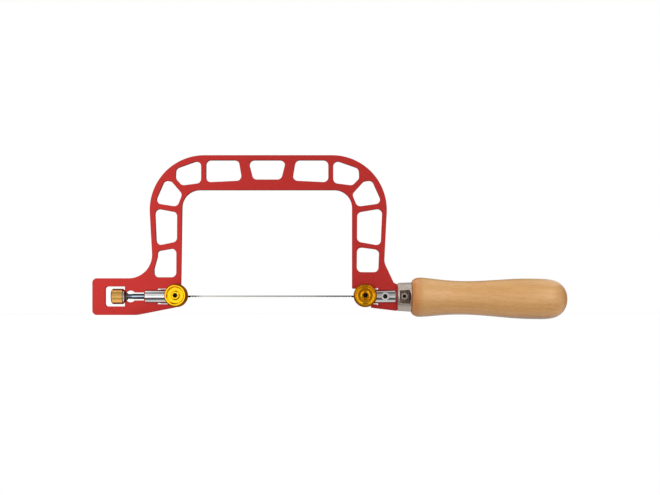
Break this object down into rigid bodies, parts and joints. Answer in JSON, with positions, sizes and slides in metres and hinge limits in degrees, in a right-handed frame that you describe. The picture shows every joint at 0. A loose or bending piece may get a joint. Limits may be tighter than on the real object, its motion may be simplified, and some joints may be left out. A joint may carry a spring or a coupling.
{
  "type": "fret saw",
  "caption": "Hand fret saw: flat windowed bow frame, screw-tensioned blade between two thumb-screw holders, and a turned wooden handle.",
  "frame": {"origin": "on the blade line, midway between the two thumb screws, in the middle plane of the frame plate", "axes": "+X from the front foot to the handle, +Z from the blade to the spine, thumb screws facing -Y"},
  "size_m": [0.3168, 0.027, 0.1093],
  "materials": {
    "frame_red": "red anodised, satin",
    "knob_yellow": "yellow anodised, glossy",
    "bright_steel": "turned stainless steel",
    "dark_steel": "blackened screw steel",
    "blade_steel": "hardened spring steel",
    "brass": "turned brass",
    "handle_wood": "varnished beech"
  },
  "bodies": {
    "saw": {"frame": "frame_red", "tension_seat": "bright_steel", "rear_barrel": "bright_steel", "rear_fork_screw": "bright_steel", "ferrule": "bright_steel", "ferrule_set_screw": "dark_steel", "handle_stud": "bright_steel", "handle_insert": "brass", "handle": "handle_wood"},
    "tension_knob": {"tension_knob": "brass"},
    "front_holder": {"front_barrel": "bright_steel", "tension_rod": "bright_steel", "rod_lock_pin": "dark_steel", "blade": "blade_steel"},
    "front_pad": {"front_clamp_pad": "bright_steel"},
    "front_knob": {"front_thumb_knob": "knob_yellow", "front_clamp_screw": "dark_steel"},
    "rear_pad": {"rear_clamp_pad": "bright_steel"},
    "rear_knob": {"rear_thumb_knob": "knob_yellow", "rear_clamp_screw": "dark_steel"}
  },
  "joints": [
    {"name": "tension_turn", "type": "hinge", "parent": "saw", "child": "tension_knob", "pos_m": [-0.1032, 0, 0], "axis": [-1, 0, 0], "range_deg": [-870, 1320]},
    {"name": "holder_slide", "type": "slide", "parent": "saw", "child": "front_holder", "axis": [1, 0, 0], "range_m": [-0.0019, 0.0029]},
    {"name": "front_pad_slide", "type": "slide", "parent": "front_holder", "child": "front_pad", "axis": [0, -1, 0], "range_m": [0, 0.0011]},
    {"name": "front_knob_turn", "type": "hinge", "parent": "front_pad", "child": "front_knob", "pos_m": [-0.0625, -0.009, 0.0005], "axis": [0, -1, 0], "range_deg": [0, 500]},
    {"name": "rear_pad_slide", "type": "slide", "parent": "saw", "child": "rear_pad", "axis": [0, -1, 0], "range_m": [0, 0.0011]},
    {"name": "rear_knob_turn", "type": "hinge", "parent": "rear_pad", "child": "rear_knob", "pos_m": [0.0625, -0.009, 0.0005], "axis": [0, -1, 0], "range_deg": [0, 500]}
  ],
  "couplings": [
    {"joint": "tension_turn", "follows": "holder_slide", "rad_per_m": 7854},
    {"joint": "front_knob_turn", "follows": "front_pad_slide", "rad_per_m": 7854},
    {"joint": "rear_knob_turn", "follows": "rear_pad_slide", "rad_per_m": 7854}
  ]
}
